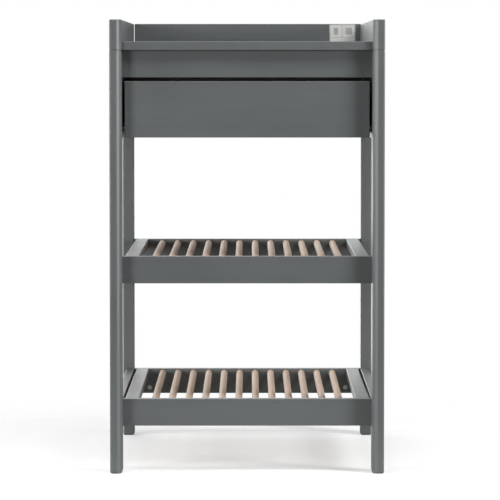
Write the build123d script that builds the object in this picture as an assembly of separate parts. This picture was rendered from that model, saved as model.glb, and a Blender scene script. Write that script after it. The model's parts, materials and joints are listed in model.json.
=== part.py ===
from build123d import *
import os

# Changing table: two slatted shelves, a drawer on roller runners and a tray for a changing mat.
# Millimetres. The origin is on the floor, midway between the four legs; +Z is up and the front
# faces -Y. Right-hand pieces are modelled, and left-hand pieces are their mirror images in X.

# Whole table
WIDTH = 565.0
DEPTH = 720.0
HEIGHT = 935.0
EASE = 1.5  # eased edge of a board
SEAM_EASE = 2.5  # rounding at the seam between guard and leg

# Legs and tray
LEG_THICKNESS = 25.0
LEG_DEPTH = 55.0
LEG_INNER_ROUND = 16.0  # wide rounding of the corner that faces the shelves
LEG_OUTER_ROUND = 3.0
LEG_FOOT_ROUND = 5.0
GUARD_HEIGHT = 63.0
TRAY_THICKNESS = 18.0
TRAY_SETBACK = 1.0
TRAY_FRONT_SETBACK = 15.0  # where the wide rounding of the guards has run out
TRAY_SIDE_EASE = 0.8
BACK_GUARD_THICKNESS = 18.0
BACK_GUARD_GAPS = (1.2, 0.2)  # left and right ends of the back guard
REBATE = 3.0  # step along the tray's rear edge, in which the back guard stands

# Cross members between the legs
RAIL_RECESS = 32.0
RAIL_THICKNESS = 20.0
RAIL_HEIGHT = 56.0
UPPER_SHELF_TOP = 447.5
LOWER_SHELF_TOP = 152.0
PANEL_THICKNESS = 18.0
PANEL_BOTTOM = 690.0

# Shelves
SLAT_DIAMETER = 15.0
SLAT_COUNT = 12
SLAT_PITCH = 35.0
SLAT_BELOW_TOP = 10.0  # axis of a slat, below the top of the rails
SLAT_SOCKET = 12.0
BATTEN_WIDTH = 28.0
BATTEN_THICKNESS = 16.0
BATTEN_GAP = 5.0

# Drawer
DRAWER_FRONT_WIDTH = 505.0
DRAWER_FRONT_BOTTOM = 692.5
DRAWER_FRONT_TOP = 808.5
DRAWER_FRONT_THICKNESS = 18.0
DRAWER_SIDE_THICKNESS = 12.0
DRAWER_SIDE_BOTTOM = 700.0
DRAWER_SIDE_TOP = 785.0
DRAWER_LENGTH = 500.0
DRAWER_FLOOR_THICKNESS = 4.0
DRAWER_FLOOR_RISE = 6.0
GROOVE = 6.0

# Runners, measured from the side panel towards the drawer
RUNNER_SPACE = 12.5
SHEET = 1.2
CHANNEL_BOTTOM = 703.0
CHANNEL_HEIGHT = 19.0
CHANNEL_REACH = 10.4
CHANNEL_CUTBACK = 26.0  # bare front end of the cabinet runner, where the front roller sits
RUNNER_LIP = 7.5
ROLLER_PLAY = 0.3
ROLLER_WIDTH = 6.0
ROLLER_STANDOFF = 3.8
ROLLER_BORE = 4.12
ROLLER_PIN = 4.0
PIN_HEAD = (7.0, 0.6)
REAR_ROLLER = 16.0
FRONT_ROLLER = 21.2

# Fastenings
BOLT = 6.0
BOLT_HOLE = 7.0
BOLT_HEAD = (15.0, 2.0)
BOLT_HEAD_SINK = 3.0
BOLT_KEY = 4.0
BOLT_BELOW_TOP = 43.0
BARREL = 10.0
BARREL_LENGTH = 16.0
BARREL_SINK = 1.0
BARREL_FROM_END = 35.0
DRIVER_SLOT = 1.4
DOWEL = 8.0
DOWEL_BELOW_TOP = 11.0
DOWEL_LONG = 20.0  # reach of a long dowel on each side of its joint
DOWEL_SHORT = 12.0
CAM = (15.0, 10.0)
CAM_FROM_END = 24.0
CAM_PIN_THREAD = 11.0
SCREW = 4.0
SCREW_HEAD = (8.0, 2.5)
SCREW_LENGTH = 38.0
SMALL_SCREW = 3.5
SMALL_SCREW_HEAD = (7.0, 1.8)
SMALL_SCREW_LENGTH = 15.0

# Label
LABEL_SIZE = (59.0, 40.0, 0.4)
LABEL_X = 216.0
LABEL_TILT = -1.0  # degrees about +Y: the right end stands a little higher
LABEL_RISE = 1.5  # above the middle of the back guard's front, which keeps it off the tray

# Places that follow from the sizes
outer = WIDTH / 2
inner = outer - LEG_THICKNESS
end = DEPTH / 2
leg_face = end - LEG_DEPTH
leg_top = HEIGHT - GUARD_HEIGHT
tray_top = leg_top + TRAY_THICKNESS
tray_end = end - TRAY_SETBACK
tray_front = TRAY_FRONT_SETBACK - end
rail_out = end - RAIL_RECESS
rail_in = rail_out - RAIL_THICKNESS
rail_middle = (rail_in + rail_out) / 2
shelf_tops = {"upper": UPPER_SHELF_TOP, "lower": LOWER_SHELF_TOP}
rail_tops = (leg_top, UPPER_SHELF_TOP, LOWER_SHELF_TOP)

EAST = Vector(1, 0, 0)
NORTH = Vector(0, 1, 0)
UP = Vector(0, 0, 1)


# Shapes ----------------------------------------------------------------------------------------


def box(x, y, z):
    """A box between three (low, high) pairs."""
    spans = [high - low for low, high in (x, y, z)]
    middles = [(low + high) / 2 for low, high in (x, y, z)]
    return Pos(*middles) * Box(*spans)


def eased(solid, axis, radius=EASE):
    """The solid with its edges along an axis rounded."""
    return fillet(solid.edges().filter_by(axis), radius)


def corner_rounded(solid, axis, point, radius):
    """The solid with one edge rounded: the one along an axis that passes nearest to a point."""
    edge = solid.edges().filter_by(axis).sort_by_distance(point)[0]
    return fillet(edge, radius)


def rod(start, direction, length, diameter):
    """A cylinder that runs from its start in a direction."""
    plane = Plane(origin=start, z_dir=direction)
    along = (Align.CENTER, Align.CENTER, Align.MIN)
    return plane * Cylinder(diameter / 2, length, align=along)


def pin_through(middle, direction, reach, diameter):
    """A cylinder that reaches equally far to both sides of its middle."""
    return rod(Vector(*middle) - direction * reach, direction, 2 * reach, diameter)


def countersunk_screw(start, direction, length, diameter, head):
    """A wood screw that runs from its head's flat face in a direction."""
    head_diameter, head_depth = head
    along = (Align.CENTER, Align.CENTER, Align.MIN)
    cone = Cone(head_diameter / 2, diameter / 2, head_depth, align=along)
    return Plane(origin=start, z_dir=direction) * cone + rod(start, direction, length, diameter)


def mirrored_x(solid):
    return mirror(solid, about=Plane.YZ)


def mirrored_y(solid):
    return mirror(solid, about=Plane.XZ)


def both_sides(solids):
    """Right-hand solids and their mirror images."""
    return [*solids, *(mirrored_x(solid) for solid in solids)]


def reaches(first, second):
    """Whether two bounding boxes overlap by more than a touch."""
    lows = [max(pair) for pair in zip(first.min, second.min)]
    highs = [min(pair) for pair in zip(first.max, second.max)]
    return all(high - low > 0.01 for low, high in zip(lows, highs))


def bored(solid, tools):
    """The solid with a hole for every tool that reaches into it."""
    bounds = solid.bounding_box()
    near = [tool for tool in tools if reaches(bounds, tool.bounding_box())]
    return solid - near if near else solid


# Frame -----------------------------------------------------------------------------------------


def make_leg():
    """The front right leg: a post with one wide rounding, a softened foot and an eased top."""
    x, y, z = (inner, outer), (-end, -leg_face), (0, leg_top)
    middle = leg_top / 2
    post = box(x, y, z)
    post = corner_rounded(post, Axis.Z, (inner, -end, middle), LEG_INNER_ROUND)
    post = corner_rounded(post, Axis.Z, (outer, -end, middle), LEG_OUTER_ROUND)
    post = corner_rounded(post, Axis.Z, (outer, -leg_face, middle), LEG_OUTER_ROUND)
    post = corner_rounded(post, Axis.Z, (inner, -leg_face, middle), EASE)
    for axis in (Axis.X, Axis.Y):
        envelope = box(x, y, z)
        for height, radius in ((0, LEG_FOOT_ROUND), (leg_top, SEAM_EASE)):
            for corner in ((inner, -leg_face), (outer, -end)):
                envelope = corner_rounded(envelope, axis, (*corner, height), radius)
        post = post & envelope
    return post


def make_side_guard():
    """The right guard, which lies over both legs and the side panel and ends as the legs do."""
    guard = box((inner, outer), (-end, end), (leg_top, HEIGHT))
    middle = (leg_top + HEIGHT) / 2
    for y in (-end, end):
        guard = corner_rounded(guard, Axis.Z, (inner, y, middle), LEG_INNER_ROUND)
        guard = corner_rounded(guard, Axis.Z, (outer, y, middle), LEG_OUTER_ROUND)
    guard = fillet(guard.faces().sort_by(Axis.Z)[-1].edges(), SEAM_EASE)
    return fillet(guard.faces().sort_by(Axis.Z)[0].edges(), EASE)


def make_cross_member(y, z):
    """A rail or panel across the table, from leg to leg, with eased long edges."""
    return eased(box((-inner, inner), y, z), Axis.X)


def make_side_member(z):
    """A panel or stretcher from the front right leg to the rear right leg."""
    return eased(box((inner, inner + PANEL_THICKNESS), (-leg_face, leg_face), z), Axis.Y)


def make_batten(top):
    """The flat batten that ties a shelf's two rails together outside its slats."""
    edge = inner - BATTEN_GAP
    return eased(
        box((edge - BATTEN_WIDTH, edge), (-rail_in, rail_in), (top - BATTEN_THICKNESS, top)), Axis.Y
    )


def make_slats(top):
    """A shelf's round slats, which end in blind holes in its two rails."""
    reach = rail_in + SLAT_SOCKET
    first = -SLAT_PITCH * (SLAT_COUNT - 1) / 2
    middles = [(first + k * SLAT_PITCH, 0, top - SLAT_BELOW_TOP) for k in range(SLAT_COUNT)]
    return [pin_through(middle, NORTH, reach, SLAT_DIAMETER) for middle in middles]


leg = make_leg()
frame = {
    "front_right_leg": leg,
    "rear_right_leg": mirrored_y(leg),
    "right_guard": make_side_guard(),
    "right_side_panel": make_side_member((PANEL_BOTTOM, leg_top)),
    "right_stretcher": make_side_member((LOWER_SHELF_TOP - RAIL_HEIGHT, LOWER_SHELF_TOP)),
    "upper_right_batten": make_batten(UPPER_SHELF_TOP),
    "lower_right_batten": make_batten(LOWER_SHELF_TOP),
}
for name, solid in list(frame.items()):
    frame[name.replace("right", "left")] = mirrored_x(solid)

front_zone = (-rail_out, -rail_in)
rear_zone = (rail_in, rail_out)
frame["apron"] = make_cross_member(front_zone, (leg_top - RAIL_HEIGHT, leg_top))
frame["rear_panel"] = make_cross_member(rear_zone, (PANEL_BOTTOM, leg_top))
for shelf, top in shelf_tops.items():
    frame[f"{shelf}_front_rail"] = make_cross_member(front_zone, (top - RAIL_HEIGHT, top))
    frame[f"{shelf}_rear_rail"] = make_cross_member(rear_zone, (top - RAIL_HEIGHT, top))
back_guard_zone = (tray_end - BACK_GUARD_THICKNESS, tray_end)
tray_blank = box((-inner, inner), (tray_front, tray_end), (leg_top, tray_top))
rebate = box((-inner, inner), back_guard_zone, (tray_top - REBATE, tray_top))
frame["tray_board"] = (eased(tray_blank, Axis.X) & eased(tray_blank, Axis.Y, TRAY_SIDE_EASE)) - rebate
left_gap, right_gap = BACK_GUARD_GAPS
back_guard = box(
    (-inner + left_gap, inner - right_gap), back_guard_zone, (tray_top - REBATE, HEIGHT)
)
frame["back_guard"] = eased(back_guard, Axis.X)
slats = {shelf: make_slats(top) for shelf, top in shelf_tops.items()}


# Bolts and barrel nuts of the frame ------------------------------------------------------------

barrel_x = inner - BARREL_FROM_END
bolt_tip = barrel_x - 10
bolt_seat = outer - BOLT_HEAD_SINK


def make_bolt(y, z):
    """A connector bolt with a flat head and a hexagon socket, driven in from the right."""
    head_diameter, head_thickness = BOLT_HEAD
    shank = rod((bolt_tip, y, z), EAST, bolt_seat - bolt_tip, BOLT)
    head = rod((bolt_seat, y, z), EAST, head_thickness, head_diameter)
    head = fillet(head.edges().sort_by(Axis.X)[-1], 0.6)
    mouth = Plane(origin=(bolt_seat + head_thickness, y, z), z_dir=-EAST)
    socket = extrude(mouth * RegularPolygon(BOLT_KEY / 2, 6, major_radius=False), 3.5)
    return shank + head - socket


def bolt_hole(y, z):
    """The clearance hole of a bolt and the sunk seat for its head."""
    depth = bolt_seat - bolt_tip + 1
    return [
        rod((bolt_seat, y, z), -EAST, depth, BOLT_HOLE),
        rod((bolt_seat, y, z), EAST, BOLT_HEAD_SINK, BOLT_HEAD[0] + 1),
    ]


def make_barrel(mouth, inwards, bolt_y, bolt_z):
    """A barrel nut, sunk into its hole from the mouth, bored for its bolt and slotted."""
    nose = Vector(*mouth) + inwards * BARREL_SINK
    body = rod(nose, inwards, BARREL_LENGTH, BARREL)
    body -= pin_through((barrel_x, bolt_y, bolt_z), EAST, BARREL, BOLT)
    slot = Plane(origin=nose, x_dir=(1, 0, 0), z_dir=inwards) * Rectangle(BARREL + 1, DRIVER_SLOT)
    return body - extrude(slot, DRIVER_SLOT)


rail_bolts = [(-rail_middle, top - BOLT_BELOW_TOP) for top in rail_tops]
rail_bolts += [(rail_middle, top - BOLT_BELOW_TOP) for top in rail_tops[1:]]
rail_bolts += [(rail_middle, height) for height in (PANEL_BOTTOM + 25, leg_top - 37)]
tray_bolts = [(y, leg_top + TRAY_THICKNESS / 2) for y in (-200, 200)]

bolts = []
barrels = []
holes = []
for y, z in rail_bolts + tray_bolts:
    if (y, z) in tray_bolts:
        mouth, inwards = (barrel_x, y, leg_top), UP
    elif y > 0:
        mouth, inwards = (barrel_x, rail_in, z), NORTH
    else:
        mouth, inwards = (barrel_x, -rail_in, z), -NORTH
    bolts.append(make_bolt(y, z))
    barrels.append(make_barrel(mouth, inwards, y, z))
    holes.append(rod(mouth, inwards, BARREL_SINK + BARREL_LENGTH, BARREL))
    holes += bolt_hole(y, z)

# Wooden dowels of the frame --------------------------------------------------------------------

dowels = []
for top in rail_tops:
    height = top - DOWEL_BELOW_TOP
    dowels.append(pin_through((inner, -rail_middle, height), EAST, DOWEL_SHORT, DOWEL))
for top in shelf_tops.values():
    height = top - DOWEL_BELOW_TOP
    dowels.append(pin_through((inner, rail_middle, height), EAST, DOWEL_SHORT, DOWEL))
    batten_middle = inner - BATTEN_GAP - BATTEN_WIDTH / 2
    for y in (-rail_in, rail_in):
        place = (batten_middle, y, top - BATTEN_THICKNESS / 2)
        dowels.append(pin_through(place, NORTH, DOWEL_SHORT, DOWEL))
dowels.append(pin_through((inner, rail_middle, leg_top - 97), EAST, DOWEL_SHORT, DOWEL))

panel_middle = inner + PANEL_THICKNESS / 2
side_dowels = [leg_top - drop for drop in (25, 72, 127, 172)]
side_dowels += [LOWER_SHELF_TOP - drop for drop in (21, 32)]
for height in side_dowels:
    for y in (-leg_face, leg_face):
        dowels.append(pin_through((panel_middle, y, height), NORTH, DOWEL_LONG, DOWEL))
for x, y in ((outer - LEG_THICKNESS / 2, end - 15), (panel_middle, 160), (panel_middle, 0)):
    dowels.append(pin_through((x, y, leg_top), UP, DOWEL_LONG, DOWEL))
    if y:
        dowels.append(pin_through((x, -y, leg_top), UP, DOWEL_LONG, DOWEL))

# Screws that hold the back guard from under the tray
back_screws = []
for x in (-180, 0, 180):
    place = (x, tray_end - BACK_GUARD_THICKNESS / 2, leg_top)
    back_screws.append(countersunk_screw(place, UP, SCREW_LENGTH, SCREW, SCREW_HEAD))

# Drawer ----------------------------------------------------------------------------------------

drawer_side = inner - RUNNER_SPACE
drawer_inside = drawer_side - DRAWER_SIDE_THICKNESS
side_middle = drawer_side - DRAWER_SIDE_THICKNESS / 2
drawer_start = -rail_out + DRAWER_FRONT_THICKNESS
drawer_rear = drawer_start + DRAWER_LENGTH
back_middle = drawer_rear - DRAWER_SIDE_THICKNESS / 2
floor_bottom = DRAWER_SIDE_BOTTOM + DRAWER_FLOOR_RISE
floor_top = floor_bottom + DRAWER_FLOOR_THICKNESS

drawer_front = box(
    (-DRAWER_FRONT_WIDTH / 2, DRAWER_FRONT_WIDTH / 2),
    (-rail_out, drawer_start),
    (DRAWER_FRONT_BOTTOM, DRAWER_FRONT_TOP),
)
drawer_floor = box(
    (-drawer_inside - GROOVE, drawer_inside + GROOVE),
    (drawer_start - GROOVE, drawer_rear),
    (floor_bottom, floor_top),
)
right_side = box(
    (drawer_inside, drawer_side), (drawer_start, drawer_rear), (DRAWER_SIDE_BOTTOM, DRAWER_SIDE_TOP)
)
right_side = corner_rounded(right_side, Axis.Y, (drawer_inside, 0, DRAWER_SIDE_TOP), EASE)
right_side = corner_rounded(right_side, Axis.Y, (drawer_side, 0, DRAWER_SIDE_TOP), EASE)
drawer_back = box(
    (-drawer_inside, drawer_inside),
    (drawer_rear - DRAWER_SIDE_THICKNESS, drawer_rear),
    (floor_top, DRAWER_SIDE_TOP),
)

# Cams in the sides pull the front on by its threaded pins
cams = []
cam_pins = []
drawer_holes = [drawer_floor]
cam_diameter, cam_depth = CAM
cam_y = drawer_start + CAM_FROM_END
for height in (728, 768):
    seat = (drawer_inside, cam_y, height)
    pin_start = (side_middle, drawer_start - CAM_PIN_THREAD, height)
    pin_length = CAM_PIN_THREAD + CAM_FROM_END
    pin_hole = rod(pin_start, NORTH, pin_length, BOLT_HOLE)
    cam = rod(seat, EAST, cam_depth, cam_diameter) - pin_hole
    for turn in (0, 90):
        slot = Plane(origin=seat, x_dir=(0, 1, 0), z_dir=EAST) * Rot(0, 0, turn) * Rectangle(9, 1.6)
        cam -= extrude(slot, 1.6)
    cams.append(cam)
    cam_pins.append(rod(pin_start, NORTH, pin_length - 1, BOLT))
    thread_hole = rod(pin_start, NORTH, CAM_PIN_THREAD, BOLT)
    shank_hole = rod((side_middle, drawer_start, height), NORTH, CAM_FROM_END, BOLT_HOLE)
    drawer_holes += [thread_hole, shank_hole, rod(seat, EAST, cam_depth, cam_diameter)]

drawer_screws = []
for height in (732, 768):
    place = (drawer_side, back_middle, height)
    drawer_screws.append(countersunk_screw(place, -EAST, SCREW_LENGTH, SCREW, SCREW_HEAD))

# Runners and rollers ---------------------------------------------------------------------------

runner_start = -leg_face - 1
runner_end = runner_start + DRAWER_LENGTH
channel_top = CHANNEL_BOTTOM + CHANNEL_HEIGHT
roller_height = CHANNEL_BOTTOM + SHEET + ROLLER_PLAY + REAR_ROLLER / 2
lip_bottom = roller_height + FRONT_ROLLER / 2 + ROLLER_PLAY
roller_x = inner - ROLLER_STANDOFF - ROLLER_WIDTH
front_roller_y = runner_start + CHANNEL_CUTBACK / 2
rear_roller_y = drawer_rear - 12

# Cabinet runner: a channel on the side panel, bare in front round the front roller
web_face = inner - SHEET
cabinet_runner = box((web_face, inner), (runner_start, runner_end), (CHANNEL_BOTTOM, channel_top))
for bottom in (CHANNEL_BOTTOM, channel_top - SHEET):
    cabinet_runner += box(
        (inner - CHANNEL_REACH, inner),
        (runner_start + CHANNEL_CUTBACK, runner_end),
        (bottom, bottom + SHEET),
    )

# Drawer runner: it wraps the bottom edge of the drawer's side and turns out over the rollers
drawer_runner = box(
    (drawer_side, drawer_side + SHEET),
    (drawer_start, drawer_rear),
    (DRAWER_SIDE_BOTTOM - SHEET, lip_bottom + SHEET),
)
drawer_runner += box(
    (drawer_inside, drawer_side + SHEET),
    (drawer_start, drawer_rear),
    (DRAWER_SIDE_BOTTOM - SHEET, DRAWER_SIDE_BOTTOM),
)
drawer_runner += box(
    (drawer_side, drawer_side + SHEET + RUNNER_LIP),
    (drawer_start, drawer_rear),
    (lip_bottom, lip_bottom + SHEET),
)


def make_roller(y, diameter):
    """A nylon roller with a bore for its pin and softened rims."""
    wheel = rod((roller_x, y, roller_height), EAST, ROLLER_WIDTH, diameter)
    wheel = fillet(wheel.edges(), 0.6)
    return wheel - pin_through((roller_x, y, roller_height), EAST, 2 * ROLLER_WIDTH, ROLLER_BORE)


def make_pin(root, y, direction):
    """A roller's pin, riveted to a runner at its root, with a thin head beyond the roller."""
    head_diameter, head_thickness = PIN_HEAD
    tip = (inner - CHANNEL_REACH + 0.4) if direction.X < 0 else (inner - ROLLER_STANDOFF + 0.2)
    start = (root, y, roller_height)
    shank = rod(start, direction, abs(tip - root), ROLLER_PIN)
    return shank + rod((tip, y, roller_height), direction, head_thickness, head_diameter)


cabinet_pin = make_pin(web_face, front_roller_y, -EAST)
drawer_pin = make_pin(drawer_side + SHEET, rear_roller_y, EAST)

cabinet_screws = []
for y in (-200, 0, 150):
    place = (web_face, y, roller_height)
    cabinet_screws.append(
        countersunk_screw(place, EAST, SMALL_SCREW_LENGTH, SMALL_SCREW, SMALL_SCREW_HEAD)
    )
runner_screws = []
for y in (-260, 100):
    place = (drawer_side - SMALL_SCREW_HEAD[0] / 2, y, DRAWER_SIDE_BOTTOM - SHEET)
    runner_screws.append(
        countersunk_screw(place, UP, SMALL_SCREW_LENGTH, SMALL_SCREW, SMALL_SCREW_HEAD)
    )

# Label ------------------------------------------------------------------------------------------

label_width, label_height, label_thickness = LABEL_SIZE
label_middle = (tray_top + HEIGHT) / 2 + LABEL_RISE
label_face = tray_end - BACK_GUARD_THICKNESS - label_thickness / 2
label = Pos(LABEL_X, label_face, label_middle) * Rot(0, LABEL_TILT, 0) * Box(
    label_width, label_thickness, label_height)

# Nodes ------------------------------------------------------------------------------------------

frame_tools = both_sides(holes + dowels + cabinet_screws) + back_screws
frame_tools += slats["upper"] + slats["lower"]
nodes = {name: bored(solid, frame_tools) for name, solid in frame.items()}
nodes["upper_slats"] = slats["upper"]
nodes["lower_slats"] = slats["lower"]
nodes["connector_bolts"] = both_sides(bolts)
nodes["barrel_nuts"] = both_sides(barrels)
nodes["wood_dowels"] = both_sides(dowels)
nodes["back_guard_screws"] = back_screws
nodes["guard_label"] = label

nodes["drawer_front"] = bored(fillet(drawer_front.edges(), EASE), both_sides(drawer_holes))
nodes["drawer_floor"] = drawer_floor
nodes["drawer_back"] = bored(drawer_back, both_sides(drawer_screws))
nodes["drawer_cams"] = both_sides(cams)
nodes["drawer_cam_pins"] = both_sides(cam_pins)
nodes["drawer_back_screws"] = both_sides(drawer_screws)
nodes["cabinet_roller_pins"] = both_sides([cabinet_pin])
nodes["drawer_roller_pins"] = both_sides([drawer_pin])
nodes["cabinet_runner_screws"] = both_sides(cabinet_screws)
nodes["drawer_runner_screws"] = both_sides(runner_screws)

sided = {
    "drawer_side": bored(right_side, drawer_holes + drawer_screws + runner_screws),
    "cabinet_runner": bored(cabinet_runner, cabinet_screws),
    "drawer_runner": bored(drawer_runner, runner_screws),
    "front_roller": make_roller(front_roller_y, FRONT_ROLLER),
    "rear_roller": make_roller(rear_roller_y, REAR_ROLLER),
}
for name, solid in sided.items():
    nodes[f"right_{name}"] = solid
    nodes[f"left_{name}"] = mirrored_x(solid)

os.makedirs("parts", exist_ok=True)
for name, shape in nodes.items():
    pieces = shape if isinstance(shape, list) else [shape]
    solids = [solid for piece in pieces for solid in piece.solids()]
    export_step(solids[0] if len(solids) == 1 else Compound(solids), f"parts/{name}.step")
    print(name, len(solids))
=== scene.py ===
# %% [markdown]
# # A changing table in a quiet studio
#
# The real object is a small beech table for changing a baby: four posts, two slatted shelves, one
# drawer, and on top a shallow tray that keeps a changing mat in place. The frame and the front of
# the drawer wear a thin grey lacquer, and the slats of the shelves are bare. The boards come from
# a CAD model that is already the right shape, so this lesson spends its effort on four things:
# surfaces that look like lacquered wood, raw beech, zinc and nylon, the turned slats, the label,
# and the light.

# %% Load the CAD model as a fixed frame
import json
import math

import bpy
import numpy as np
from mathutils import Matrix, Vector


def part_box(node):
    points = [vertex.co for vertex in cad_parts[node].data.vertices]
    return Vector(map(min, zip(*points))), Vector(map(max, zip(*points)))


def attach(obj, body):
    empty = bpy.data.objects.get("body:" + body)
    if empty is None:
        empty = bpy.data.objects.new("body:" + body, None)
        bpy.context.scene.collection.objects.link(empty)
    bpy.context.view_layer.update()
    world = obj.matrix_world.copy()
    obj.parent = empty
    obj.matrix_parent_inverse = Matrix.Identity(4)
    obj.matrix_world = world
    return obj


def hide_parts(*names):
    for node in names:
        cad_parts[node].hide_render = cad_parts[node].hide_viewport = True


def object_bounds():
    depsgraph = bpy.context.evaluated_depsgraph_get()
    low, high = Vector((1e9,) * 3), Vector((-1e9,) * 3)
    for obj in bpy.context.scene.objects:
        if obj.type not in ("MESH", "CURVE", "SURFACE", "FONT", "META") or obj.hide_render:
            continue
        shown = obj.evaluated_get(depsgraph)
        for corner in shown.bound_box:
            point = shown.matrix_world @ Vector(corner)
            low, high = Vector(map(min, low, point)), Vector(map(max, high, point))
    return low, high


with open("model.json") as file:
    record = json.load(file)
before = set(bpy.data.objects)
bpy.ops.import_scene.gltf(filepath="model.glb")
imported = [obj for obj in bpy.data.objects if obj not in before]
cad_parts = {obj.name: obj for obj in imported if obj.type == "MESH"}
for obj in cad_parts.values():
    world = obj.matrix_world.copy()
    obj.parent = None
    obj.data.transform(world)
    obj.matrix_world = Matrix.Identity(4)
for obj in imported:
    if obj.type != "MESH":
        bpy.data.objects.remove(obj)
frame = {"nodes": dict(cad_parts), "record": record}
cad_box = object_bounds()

nodes = frame["nodes"]
table_low, table_high = (np.array(corner) for corner in cad_box)
print("table, metres:", np.round(table_high - table_low, 4))

# %% [markdown]
# ## The camera
#
# Furniture is usually shown from far away through a long lens, because the sides then stay
# upright and parallel. A camera close by with a short lens would spread the legs. The camera here
# stands more than six metres back, a little under the height of the tray, and looks slightly
# down, so both shelves show their slats and the tray shows only its edge.

# %% Place the camera
MM = 0.001
CAMERA_PLACE = (0.006, -6.66, 0.841)
CAMERA_TIP = math.radians(3.438)
SENSOR_WIDTH = 36.0
LENS = 221.3

camera_data = bpy.data.cameras.new("studio_camera")
camera_data.sensor_width = SENSOR_WIDTH
camera_data.lens = LENS
camera = bpy.data.objects.new("studio_camera", camera_data)
camera.location = CAMERA_PLACE
camera.rotation_euler = (math.pi / 2 - CAMERA_TIP, 0, 0)
bpy.context.scene.collection.objects.link(camera)
bpy.context.scene.camera = camera
bpy.context.scene.view_settings.view_transform = "Standard"
half_view = math.degrees(math.atan(SENSOR_WIDTH / 2 / LENS))
print("half the angle of view, degrees:", round(half_view, 2))

# %% [markdown]
# ## Writing shader maths as sums
#
# A material in Blender is a graph of nodes, and a graph of Math nodes is hard to read. Python can
# read like the sum it stands for, so one small class wraps an output socket and overloads the
# arithmetic signs: 1 - mask adds a Subtract node and gives back its output. A second class holds
# the graph and adds every other kind of node from its type, its settings and its inputs, and a
# third is a graph round a Principled shader. Colours keep to Mix nodes, because a Math node would
# turn them grey.

# %% A socket that can be added and multiplied
class Wire:
    """An output socket of a graph. A sum or product with it adds a Math node."""

    def __init__(self, graph, socket):
        self.graph = graph
        self.socket = socket

    def math(self, operation, first, second):
        return self.graph.node("ShaderNodeMath", {"operation": operation}, {0: first, 1: second})

    def __add__(self, other):
        return self.math("ADD", self, other)

    def __radd__(self, other):
        return self.math("ADD", other, self)

    def __sub__(self, other):
        return self.math("SUBTRACT", self, other)

    def __rsub__(self, other):
        return self.math("SUBTRACT", other, self)

    def __mul__(self, other):
        return self.math("MULTIPLY", self, other)

    def __rmul__(self, other):
        return self.math("MULTIPLY", other, self)

    def between(self, low, high):
        """1 where the value lies between low and high, and 0 elsewhere."""
        return self.math("GREATER_THAN", self, low) * self.math("LESS_THAN", self, high)


signs = [name.strip("_") for name in vars(Wire)]
print("a wire understands", [sign for sign in signs if sign.endswith(("add", "sub", "mul"))])

# %% A graph that grows node by node
class Graph:
    """The nodes of a material or of the world."""

    def __init__(self, tree):
        self.tree = tree

    def plug(self, socket, value):
        """Link a wire to a socket, or set the socket to a value."""
        if isinstance(value, Wire):
            self.tree.links.new(value.socket, socket)
        else:
            socket.default_value = value

    def node(self, kind, settings=None, inputs=None, output=0):
        """Add a node: settings first, then inputs by name or number. Returns one of its outputs."""
        added = self.tree.nodes.new(kind)
        for name, value in (settings or {}).items():
            if name == "stops":
                self.set_stops(added.color_ramp, value)
            else:
                setattr(added, name, value)
        for name, value in (inputs or {}).items():
            self.plug(added.inputs[name], value)
        return Wire(self, added.outputs[output])

    def set_stops(self, ramp, stops):
        """Give a ramp its stops: pairs of a place from 0 to 1 and a colour or a grey."""
        while len(ramp.elements) < len(stops):
            ramp.elements.new(0.5)
        for element, (place, shade) in zip(ramp.elements, stops):
            element.position = place
            element.color = (*shade, 1) if isinstance(shade, tuple) else (shade, shade, shade, 1)

    def noise(self, place, scale, detail=3.0, roughness=0.5):
        """Smooth noise from 0 to 1 with about scale bumps in each metre."""
        inputs = {"Vector": place, "Scale": scale, "Detail": detail, "Roughness": roughness}
        return self.node("ShaderNodeTexNoise", {}, inputs)

    def ramp(self, value, stops):
        """The value, read off a row of stops."""
        return self.node("ShaderNodeValToRGB", {"stops": stops}, {"Fac": value})

    def mix(self, amount, first, second):
        """Two colours mixed by an amount from 0 to 1."""
        settings = {"data_type": "RGBA"}
        return self.node("ShaderNodeMix", settings, {0: amount, 6: first, 7: second}, output=2)

    def stretched(self, stretch):
        """The place on the object in metres, stretched along each axis."""
        place = self.node("ShaderNodeTexCoord", {}, {}, output=3)
        return self.node("ShaderNodeMapping", {}, {"Vector": place, "Scale": stretch})


print("a graph can", [name for name in vars(Graph) if not name.startswith("_")])

# %% A material round its Principled shader
class Finish(Graph):
    """A material under construction. Constants go straight onto the shader's own sockets."""

    def __init__(self, name, **constants):
        self.material = bpy.data.materials.new(name)
        self.material.use_nodes = True
        super().__init__(self.material.node_tree)
        self.shader = self.tree.nodes["Principled BSDF"]
        for socket, value in constants.items():
            self.shader.inputs[socket.replace("_", " ")].default_value = value

    def surface(self, colour, roughness, height=None, depth=0.0, alpha=None):
        """Plug what varies into the shader. The height, times the depth in metres, is a bump."""
        inputs = {"Base Color": colour, "Roughness": roughness, "Alpha": alpha}
        if height is not None:
            bump = {"Strength": 1.0, "Distance": depth, "Height": height}
            inputs["Normal"] = self.node("ShaderNodeBump", {}, bump)
        for socket, wire in inputs.items():
            if wire is not None:
                self.plug(self.shader.inputs[socket], wire)
        return self.material


print("a finish is a graph too:", issubclass(Finish, Graph))

# %% [markdown]
# ## Grey lacquer over beech
#
# The frame is beech and fibreboard under a sprayed satin lacquer. From across the room it is one
# even grey. Close to, the lacquer has a faint orange peel, the pores and growth rings of the wood
# print through as shallow streaks along each board, and the shine is a little uneven. A single
# flat colour would look like plastic. Streaks have a direction, so there is one version for boards
# that run across the table, one for boards that run from front to back and one for the posts. In
# each, the noise is squeezed across the board and drawn out along it.

# %% Make the lacquer for each direction of board
GREY = (0.096, 0.104, 0.104)
LACQUER_TONES = 0.07
GRAIN_STRETCH = 0.035
PORES_PER_METRE = 260.0
RINGS_PER_METRE = 48.0
CLOUDS_PER_METRE = 7.0
PEEL_PER_METRE = 620.0
LACQUER_RELIEF = 0.05 * MM
LACQUER_AXES = ("across", "deep", "upright")


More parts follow.
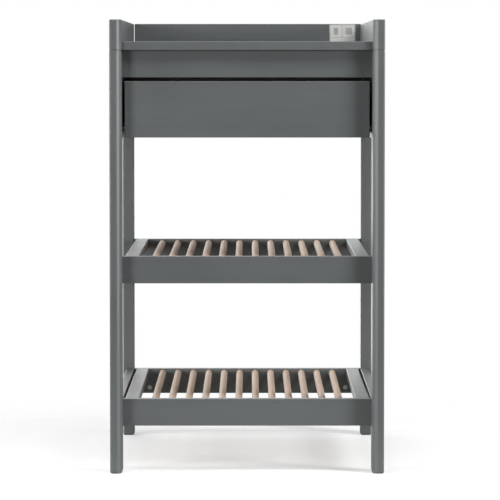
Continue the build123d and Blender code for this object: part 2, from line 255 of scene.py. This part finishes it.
def make_lacquer(axis_name):
    """Grey satin lacquer whose streaks run along one axis of the table."""
    axis = LACQUER_AXES.index(axis_name)
    finish = Finish(f"grey_lacquer_{axis_name}", Specular_IOR_Level=0.75)
    stretch = [1.0, 1.0, 1.0]
    stretch[axis] = GRAIN_STRETCH
    along = finish.stretched(stretch)
    even = finish.stretched((1.0, 1.0, 1.0))
    streaks = finish.noise(along, PORES_PER_METRE, detail=5.0, roughness=0.62)
    rings = finish.noise(along, RINGS_PER_METRE, detail=2.0)
    clouds = finish.noise(even, CLOUDS_PER_METRE, detail=2.0)
    peel = finish.noise(even, PEEL_PER_METRE, detail=2.0)
    tone = streaks * 0.30 + rings * 0.35 + clouds * 0.35
    darker = tuple(channel * (1 - LACQUER_TONES) for channel in GREY)
    lighter = tuple(channel * (1 + LACQUER_TONES) for channel in GREY)
    colour = finish.ramp(tone, [(0.36, darker), (0.50, GREY), (0.64, lighter)])
    roughness = 0.35 + clouds * 0.10 + streaks * 0.10
    height = streaks * 0.7 + rings * 0.3 + peel * 0.25
    return finish.surface(colour, roughness, height, depth=LACQUER_RELIEF)


lacquers = {axis_name: make_lacquer(axis_name) for axis_name in LACQUER_AXES}
print("lacquers:", list(lacquers))

# %% [markdown]
# ## Raw beech
#
# The slats are turned beech left in its own colour: a pale pinkish brown, with long soft bands
# along the rod and the short dark flecks that give beech away. Flecks are noise drawn out along
# the rod and cut off with a steep ramp, so only its peaks show. No two rods from a bundle have
# the same tone, so each slat's mesh carries one number, its tone, that the material reads.

# %% Make the beech
BEECH_DARK = (0.320, 0.225, 0.158)
BEECH_MIDDLE = (0.410, 0.300, 0.218)
BEECH_LIGHT = (0.490, 0.368, 0.276)
BEECH_FLECK = (0.230, 0.148, 0.096)
BANDS_PER_METRE = 190.0
WIDE_BANDS_PER_METRE = 45.0
FLECKS_PER_METRE = 1500.0
FLECK_EDGE = (0.60, 0.68)
FLECK_STRENGTH = 0.55
BEECH_RELIEF = 0.08 * MM


def make_beech():
    """Beech with its grain along the table's depth, toned by the piece's own attribute."""
    finish = Finish("natural_beech", Specular_IOR_Level=0.35)
    banded = finish.stretched((1.0, 0.05, 1.0))
    flecked = finish.stretched((1.0, 0.16, 1.0))
    bands = finish.noise(banded, BANDS_PER_METRE, detail=4.0, roughness=0.55)
    wide_bands = finish.noise(banded, WIDE_BANDS_PER_METRE, detail=2.0)
    pores = finish.noise(flecked, FLECKS_PER_METRE, detail=2.0)
    tone = finish.node("ShaderNodeAttribute", {"attribute_name": "tone"}, {}, output=2)
    grain = bands * 0.55 + wide_bands * 0.45 + tone
    wood = finish.ramp(grain, [(0.30, BEECH_DARK), (0.50, BEECH_MIDDLE), (0.70, BEECH_LIGHT)])
    clear, dark = FLECK_EDGE
    flecks = finish.ramp(pores, [(clear, 0.0), (dark, 1.0)])
    colour = finish.mix(flecks * FLECK_STRENGTH, wood, (*BEECH_FLECK, 1))
    roughness = 0.52 + bands * 0.18
    height = bands * 0.6 - flecks * 0.5
    return finish.surface(colour, roughness, height, depth=BEECH_RELIEF)


beech = make_beech()
print("beech from", BEECH_DARK, "to", BEECH_LIGHT)

# %% [markdown]
# ## Zinc, foil, nylon and film
#
# Bolts, nuts, screws and runners are zinc-plated steel. Zinc grows in small crystals, which
# show as patches of slightly different shine. The drawer's box is fibreboard wrapped in a printed
# grey foil with a fine fibre, its rollers are moulded nylon, and the label is a matt film. Each
# has only a few nodes, because these surfaces are small, but none is one flat colour.

# %% Make the zinc
SKIN_RELIEF = 0.01 * MM
ZINC_DARK = (0.50, 0.51, 0.52)
ZINC_LIGHT = (0.68, 0.68, 0.67)
CRYSTALS_PER_METRE = 650.0


def make_zinc():
    """Zinc plating: crystals with their own shine, under fine drawing marks."""
    finish = Finish("zinc_steel", Metallic=1.0)
    even = finish.stretched((1.0, 1.0, 1.0))
    inputs = {"Vector": even, "Scale": CRYSTALS_PER_METRE}
    crystals = finish.node("ShaderNodeTexVoronoi", {}, inputs, output=1)
    grey = finish.node("ShaderNodeRGBToBW", {}, {0: crystals})
    haze = finish.noise(even, 60.0, detail=3.0)
    drawn = finish.noise(finish.stretched((1.0, 0.03, 1.0)), 900.0)
    shade = finish.ramp(grey * 0.5 + haze * 0.5, [(0.2, ZINC_DARK), (0.8, ZINC_LIGHT)])
    roughness = 0.26 + grey * 0.14 + haze * 0.12
    return finish.surface(shade, roughness, drawn * 0.6 + grey * 0.4, depth=SKIN_RELIEF)


print("a zinc crystal, mm:", round(1 / CRYSTALS_PER_METRE / MM, 2))

# %% Make the foil and the nylon
FOIL_DARK = (0.255, 0.262, 0.262)
FOIL_LIGHT = (0.345, 0.352, 0.350)
FOIL_RELIEF = 0.02 * MM
NYLON_DARK = (0.74, 0.74, 0.71)
NYLON_LIGHT = (0.84, 0.84, 0.82)


def make_foil():
    """Grey foil on fibreboard, with a fine fibre along the board."""
    finish = Finish("grey_foil", Specular_IOR_Level=0.4)
    fibre = finish.noise(finish.stretched((1.0, 0.05, 0.4)), 900.0, detail=3.0)
    clouds = finish.noise(finish.stretched((1.0, 1.0, 1.0)), 18.0, detail=2.0)
    tone = fibre * 0.6 + clouds * 0.4
    colour = finish.ramp(tone, [(0.3, FOIL_DARK), (0.7, FOIL_LIGHT)])
    return finish.surface(colour, 0.48 + fibre * 0.14, fibre, depth=FOIL_RELIEF)


def make_nylon():
    """Moulded nylon: milky, with a soft mottle and a grained skin."""
    finish = Finish("white_nylon", Subsurface_Weight=0.15, Subsurface_Scale=2 * MM)
    even = finish.stretched((1.0, 1.0, 1.0))
    mottle = finish.noise(even, 210.0, detail=3.0)
    skin = finish.noise(even, 2600.0, detail=1.0)
    colour = finish.ramp(mottle, [(0.3, NYLON_DARK), (0.7, NYLON_LIGHT)])
    return finish.surface(colour, 0.34 + mottle * 0.16, skin, depth=SKIN_RELIEF)


# %% [markdown]
# ## The label's print
#
# The label's film is printed with a thin border, two rules and two plain blocks, with no words or
# signs. The print has to sit square on a plate that is a little tilted, so the plate carries a map
# measured along its own sides, and the film draws its lines from that map.

# %% Print the film
FILM_FIELD = (0.60, 0.605, 0.585)
FILM_INK = (0.20, 0.20, 0.195)
BORDER_ACROSS = 0.035
BORDER_UP = 0.049
BORDER_INK = 0.45
LEVEL_RULE = (0.2408, 0.2792)
LEVEL_RULE_INK = 0.40
UPRIGHT_RULE = (0.478, 0.502)
UPRIGHT_RULE_UP = (0.26, 1.0)
UPRIGHT_RULE_INK = 0.55
BLOCKS_ACROSS = ((0.17, 0.33), (0.62, 0.87))
BLOCKS_UP = (0.42, 0.80)
BLOCK_INK = 0.62


def make_film():
    """Matt film: a border, a rule across and a rule down, and a plain block in each upper field."""
    finish = Finish("label_film", Specular_IOR_Level=0.4)
    place = finish.node("ShaderNodeUVMap", {"uv_map": "print"})
    across = finish.node("ShaderNodeSeparateXYZ", {}, {0: place}, output=0)
    up = finish.node("ShaderNodeSeparateXYZ", {}, {0: place}, output=1)
    inside = across.between(BORDER_ACROSS, 1 - BORDER_ACROSS) * up.between(BORDER_UP, 1 - BORDER_UP)
    upright_rule = across.between(*UPRIGHT_RULE) * up.between(*UPRIGHT_RULE_UP)
    level_rule = up.between(*LEVEL_RULE)
    left_block, right_block = (across.between(*ends) * up.between(*BLOCKS_UP) for ends in BLOCKS_ACROSS)
    blocks = (left_block + right_block) * BLOCK_INK
    lines = upright_rule * UPRIGHT_RULE_INK + level_rule * LEVEL_RULE_INK
    ink = (1 - inside) * BORDER_INK + inside * (lines + blocks)
    even = finish.stretched((1.0, 1.0, 1.0))
    smudge = finish.noise(even, 120.0, detail=3.0)
    field = finish.ramp(smudge, [(0.3, tuple(0.95 * c for c in FILM_FIELD)), (0.7, FILM_FIELD)])
    colour = finish.mix(ink, field, (*FILM_INK, 1))
    return finish.surface(colour, 0.40 + smudge * 0.15, smudge, depth=SKIN_RELIEF)


small_finishes = {
    "natural_beech": beech,
    "zinc_steel": make_zinc(),
    "grey_foil": make_foil(),
    "white_nylon": make_nylon(),
    "label_film": make_film(),
}
print("small finishes:", list(small_finishes))

# %% [markdown]
# ## Dressing the CAD boards
#
# The CAD boards keep their meshes, and only their material slots change. The record says which
# finish each one has. For lacquer, the direction of the streaks is the direction in which the
# board is longest, as a joiner would cut it: the script measures each board's box and looks.

# %% Give every CAD node its finish
slot_of = {part["node"]: part["material_slot"] for part in frame["record"]["subparts"]}


def board_direction(node_name):
    """The lacquer whose streaks run along the longest side of a board."""
    low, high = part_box(node_name)
    return LACQUER_AXES[int(np.argmax(np.array(high) - np.array(low)))]


for node_name, node in nodes.items():
    slot_name = slot_of[node_name]
    if slot_name == "grey_lacquer":
        finish = lacquers[board_direction(node_name)]
    else:
        finish = small_finishes[slot_name]
    for material_slot in node.material_slots:
        material_slot.material = finish
print("nodes dressed:", len(nodes))

# %% [markdown]
# ## Surfaces from arrays
#
# The pieces that the CAD model keeps plain are made again here. Each is a stack of closed rings:
# a rod is the same circle at many places along its axis, and a plate is the same rounded outline
# at a few depths. Written as arrays, a whole stack is one formula of two parameters, the ring and
# the place round the ring, and no loop visits a point.

# %% Put stacked rings into a mesh
def ring_faces(rings, sides):
    """Faces of stacked rings: a four-sided face between neighbours, and one cap at each end."""
    ring, side = np.meshgrid(np.arange(rings - 1), np.arange(sides), indexing="ij")
    here = ring * sides + side
    beside = ring * sides + (side + 1) % sides
    walls = np.stack([here, here + sides, beside + sides, beside], axis=-1).reshape(-1, 4)
    first_cap = np.arange(sides)
    last_cap = (rings - 1) * sides + np.arange(sides)[::-1]
    return [*walls.tolist(), first_cap.tolist(), last_cap.tolist()]


def put_rings(name, points, material):
    """A mesh object from points[ring, side, xyz], smooth round its walls with flat caps."""
    rings, sides, _ = points.shape
    mesh = bpy.data.meshes.new(name)
    mesh.from_pydata(points.reshape(-1, 3).tolist(), [], ring_faces(rings, sides))
    smooth = np.ones(len(mesh.polygons), dtype=bool)
    smooth[-2:] = False
    mesh.polygons.foreach_set("use_smooth", smooth)
    mesh.materials.append(material)
    mesh.update()
    piece = bpy.data.objects.new(name, mesh)
    bpy.context.scene.collection.objects.link(piece)
    return piece


def enclosed_volume(mesh):
    """Volume from the faces: each triangle makes a pyramid with the origin. Above 0, faces point out."""
    mesh.calc_loop_triangles()
    corners = np.empty(len(mesh.loop_triangles) * 3, dtype=np.int32)
    mesh.loop_triangles.foreach_get("vertices", corners)
    places = np.empty(len(mesh.vertices) * 3)
    mesh.vertices.foreach_get("co", places)
    first, second, third = places.reshape(-1, 3)[corners.reshape(-1, 3)].transpose(1, 0, 2)
    return float(np.sum(first * np.cross(second, third))) / 6


print("two rings of four points:", len(ring_faces(2, 4)), "faces")

# %% [markdown]
# ## Turned slats
#
# A shelf has twelve round beech rods, glued into blind holes in the front and rear rails. Blender
# could add twelve cylinders, but a cylinder has hard ends and nowhere to carry a tone. Here a rod
# is a circle carried along the depth of the table. Its radius falls off in a small chamfer at
# both ends, as a dowel's does so that it enters its hole, and wanders by a few hundredths of a
# millimetre, as a turned rod's does, which breaks up the shine along it.

# %% Turn the slats of both shelves
SLATS_PER_SHELF = 12
SLAT_SIDES = 40
SLAT_STATIONS = 60
SLAT_CHAMFER = 1.5 * MM
SLAT_WANDER = 0.03 * MM
TONE_SPREAD = 0.075
bundle = np.random.default_rng(12)


def slat_points(middle_x, middle_z, radius, ends):
    """Circles along the depth: (x, z) is the axis plus radius times (cosine, sine)."""
    front, rear = ends
    inner_run = np.linspace(front + SLAT_CHAMFER, rear - SLAT_CHAMFER, SLAT_STATIONS)
    depth = np.concatenate([[front], inner_run, [rear]])
    wander = SLAT_WANDER * bundle.uniform(-1, 0, len(depth))
    radii = radius + np.convolve(wander, np.ones(5) / 5, mode="same")
    radii[[0, -1]] = radius - SLAT_CHAMFER
    angle = np.linspace(0, 2 * math.pi, SLAT_SIDES, endpoint=False)
    x = middle_x + radii[:, None] * np.cos(angle)
    z = middle_z + radii[:, None] * np.sin(angle)
    y = np.broadcast_to(depth[:, None], x.shape)
    return np.stack([x, y, z], axis=-1)


def turn_slats(shelf):
    """The slats of a shelf, spread over the width of the CAD node that they stand for."""
    low, high = (np.array(corner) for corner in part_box(f"{shelf}_slats"))
    radius = (high[2] - low[2]) / 2
    middles = np.linspace(low[0] + radius, high[0] - radius, SLATS_PER_SHELF)
    made = []
    for number, middle_x in enumerate(middles, start=1):
        points = slat_points(middle_x, low[2] + radius, radius, (low[1], high[1]))
        slat = put_rings(f"{shelf}_slat_{number:02d}", points, beech)
        tone = slat.data.attributes.new("tone", "FLOAT", "POINT")
        shade = bundle.uniform(-TONE_SPREAD, TONE_SPREAD)
        tone.data.foreach_set("value", np.full(len(slat.data.vertices), shade))
        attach(slat, "table")
        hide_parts(f"{shelf}_slats")
        made.append(slat)
    return made


for shelf in ("upper", "lower"):
    made = turn_slats(shelf)
    volume = enclosed_volume(made[0].data) / MM**3 / 1000
    print(f"{shelf} shelf: {len(made)} slats of {volume:.1f} cubic centimetres")

# %% [markdown]
# ## The label
#
# A small printed plate is stuck to the front of the back guard, near its right end and a degree
# out of true, as a label put on by hand is. It is a rounded rectangle at three depths, which gives
# it a softened front edge. The map that places the print is the share of the way along each side,
# taken before the outline is tilted, so the print tilts with the plate.

# %% Cut the label
LABEL_TILT = math.radians(1.0)
LABEL_CORNER = 1.5 * MM
LABEL_SOFT_EDGE = 0.12 * MM
CORNER_POINTS = 8


def rounded_outline(half_width, half_height, corner):
    """Four quarter circles round a rectangle's corners, the straight sides falling between them."""
    turn = np.linspace(0, math.pi / 2, CORNER_POINTS)
    starts = np.arange(4) * math.pi / 2
    angle = starts[:, None] + turn
    side_x = np.array([1, -1, -1, 1])[:, None] * (half_width - corner)
    side_z = np.array([1, 1, -1, -1])[:, None] * (half_height - corner)
    x = (side_x + corner * np.cos(angle)).ravel()
    z = (side_z + corner * np.sin(angle)).ravel()
    return np.stack([x, z], axis=-1)


def cut_label():
    """The plate: the outline at three depths, tilted about its middle, with a map along its sides."""
    low, high = (np.array(corner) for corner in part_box("guard_label"))
    span_x, _, span_z = high - low
    cosine, sine = math.cos(LABEL_TILT), math.sin(LABEL_TILT)
    width, height = np.linalg.solve([[cosine, sine], [sine, cosine]], [span_x, span_z])
    insets = np.array([LABEL_SOFT_EDGE, 0, 0])
    depths = np.array([low[1], low[1] + LABEL_SOFT_EDGE, high[1]])
    flat = np.stack(
        [rounded_outline(width / 2 - inset, height / 2 - inset, LABEL_CORNER) for inset in insets]
    )
    middle = (low + high) / 2
    x = middle[0] + flat[..., 0] * cosine - flat[..., 1] * sine
    z = middle[2] + flat[..., 0] * sine + flat[..., 1] * cosine
    y = np.broadcast_to(depths[:, None], x.shape)
    label = put_rings("printed_label", np.stack([x, y, z], axis=-1), small_finishes["label_film"])
    corner_of_loop = np.empty(len(label.data.loops), dtype=np.int32)
    label.data.loops.foreach_get("vertex_index", corner_of_loop)
    share = flat.reshape(-1, 2) / (width, height) + 0.5
    label.data.uv_layers.new(name="print").data.foreach_set("uv", share[corner_of_loop].ravel())
    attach(label, "table")
    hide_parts("guard_label")
    return label, width, height


label, label_width, label_height = cut_label()
print(f"label: {label_width / MM:.1f} by {label_height / MM:.1f} mm")

# %% [markdown]
# ## Floor
#
# The table stands on white paper that runs off into white. The paper is a disc, worked out from
# rings and spokes, and fades to clear between two distances from the table's middle, so that the
# white world takes over without a line. Paper as white as the world would light the table from
# below. This paper is darker and glows a little, for the camera alone, which lifts the open part
# to white and leaves only the soft shadow under the table to see.

# %% Lay the paper
PAPER_RADIUS = 4.0
PAPER_RINGS = 24
PAPER_SPOKES = 96
PAPER_WHITE = 0.53
PAPER_GLOW = 0.435
FADE_START = 0.5
FADE_END = 1.1


def make_paper():
    """White paper with a faint tooth, which glows for the camera and fades to clear."""
    finish = Finish("studio_paper", Specular_IOR_Level=0.1, Emission_Strength=1.0)
    seen = finish.node("ShaderNodeLightPath", {}, {}, output=0)
    finish.plug(finish.shader.inputs["Emission Color"], seen * PAPER_GLOW)
    even = finish.stretched((1.0, 1.0, 1.0))
    tooth = finish.noise(even, 300.0, detail=3.0)
    colour = finish.ramp(tooth, [(0.3, PAPER_WHITE * 0.99), (0.7, PAPER_WHITE)])
    distance = finish.node("ShaderNodeVectorMath", {"operation": "LENGTH"}, {0: even}, output=1)
    fade = (distance - FADE_START) * (1 / (FADE_END - FADE_START))
    alpha = finish.ramp(fade, [(0.0, 1.0), (1.0, 0.0)])
    return finish.surface(colour, 0.85 + tooth * 0.1, alpha=alpha)


def lay_paper():
    """Spokes and rings on the floor: x and y are the radius times the cosine and sine."""
    radii = np.linspace(0, PAPER_RADIUS, PAPER_RINGS + 1)[1:]
    angle = np.linspace(0, 2 * math.pi, PAPER_SPOKES, endpoint=False)
    x = radii[:, None] * np.cos(angle)
    y = radii[:, None] * np.sin(angle)
    rim = np.stack([x, y, np.zeros_like(x)], axis=-1).reshape(-1, 3)
    ring, spoke = np.meshgrid(np.arange(PAPER_RINGS - 1), np.arange(PAPER_SPOKES), indexing="ij")
    here = ring * PAPER_SPOKES + spoke
    beside = ring * PAPER_SPOKES + (spoke + 1) % PAPER_SPOKES
    faces = np.stack([here, here + PAPER_SPOKES, beside + PAPER_SPOKES, beside], axis=-1)
    mesh = bpy.data.meshes.new("studio_floor")
    mesh.from_pydata(rim.tolist(), [], [*faces.reshape(-1, 4).tolist(), list(range(PAPER_SPOKES))])
    mesh.materials.append(make_paper())
    floor = bpy.data.objects.new("studio_floor", mesh)
    bpy.context.scene.collection.objects.link(floor)
    return floor


floor = lay_paper()
print("paper:", len(floor.data.polygons), "faces")

# %% [markdown]
# ## Light
#
# Two soft lamps stand low in front, one on each side, and do most of the work. The rounded inner
# corner of each leg mirrors the lamp on the far side, which draws a pale stripe down the leg, and
# each leg keeps its own lamp off the end of the drawer, which darkens there. The side guards keep
# most of their light off the tray, so its inside stays dark. A high lamp on the right and one
# above the front draw a fine line of light along each edge that faces up, and a lamp far out on
# the left reaches the inside of the right-hand guard. The world is white to the camera; other rays
# find a dark room with a bright wall at the back, and that wall is what shines in the battens.

# %% Hang the lamps
def hang_lamp(name, place, aim, size, power):
    """A rectangular soft lamp at a place, turned to shine on a point, and not seen itself."""
    data = bpy.data.lights.new(name, "AREA")
    data.shape = "RECTANGLE"
    data.size, data.size_y = size
    data.energy = power
    lamp = bpy.data.objects.new(name, data)
    place, aim = np.array(place), np.array(aim)
    east, north, up = aim - place
    tilt = math.atan2(math.hypot(east, north), -up)
    lamp.location = place
    lamp.rotation_euler = (tilt, 0, math.atan2(-east, north))
    lamp.visible_camera = False
    bpy.context.scene.collection.objects.link(lamp)
    return lamp


lamps = [
    hang_lamp("left_lamp", (-2.3, -2.4, 0.8), (0.0, -0.2, 0.7), (0.85, 0.95), 53.0),
    hang_lamp("right_lamp", (2.8, -1.8, 0.85), (0.0, -0.2, 0.7), (0.75, 1.0), 66.0),
    hang_lamp("right_high_lamp", (2.6, -1.7, 3.2), (0.0, -0.2, 0.8), (1.2, 1.2), 104.0),
    hang_lamp("left_side_lamp", (-3.2, -0.9, 1.6), (0.0, -0.1, 0.8), (1.0, 1.4), 64.0),
    hang_lamp("high_lamp", (0.0, -1.0, 3.2), (0.0, 0.0, 0.6), (1.6, 1.6), 37.0),
]
print("lamps:", [lamp.name for lamp in lamps])

# %% Light the world
ROOM = 0.02
WALL_EDGE = (0.3, 0.8)  # northward share of a direction where the wall starts and where it is full
LEFT_EDGE = (0.3, 0.7)
WALL = 1.85
WALL_LEFT_GAIN = 1.6


def light_world():
    """White to the camera. To other rays a dark room, with a wall behind that is brighter on the left."""
    world = bpy.data.worlds.new("studio_world")
    world.use_nodes = True
    bpy.context.scene.world = world
    graph = Graph(world.node_tree)
    backdrop = world.node_tree.nodes["Background"]
    direction = graph.node("ShaderNodeTexCoord", {}, {}, output=0)
    east = graph.node("ShaderNodeSeparateXYZ", {}, {0: direction}, output=0)
    north = graph.node("ShaderNodeSeparateXYZ", {}, {0: direction}, output=1)
    start, full = WALL_EDGE
    behind = graph.ramp(north, [(start, 0.0), (full, 1.0)])
    start, full = LEFT_EDGE
    leftwards = graph.ramp(0.5 - east, [(start, 0.0), (full, 1.0)])
    wall = behind * (WALL - WALL_LEFT_GAIN + 2 * WALL_LEFT_GAIN * leftwards)
    seen = graph.node("ShaderNodeLightPath", {}, {}, output=0)
    backdrop.inputs["Color"].default_value = (1, 1, 1, 1)
    graph.plug(backdrop.inputs["Strength"], seen + (1 - seen) * (ROOM + wall))
    return world


light_world()
print("world: wall", WALL, "give or take", WALL_LEFT_GAIN)

# %% [markdown]
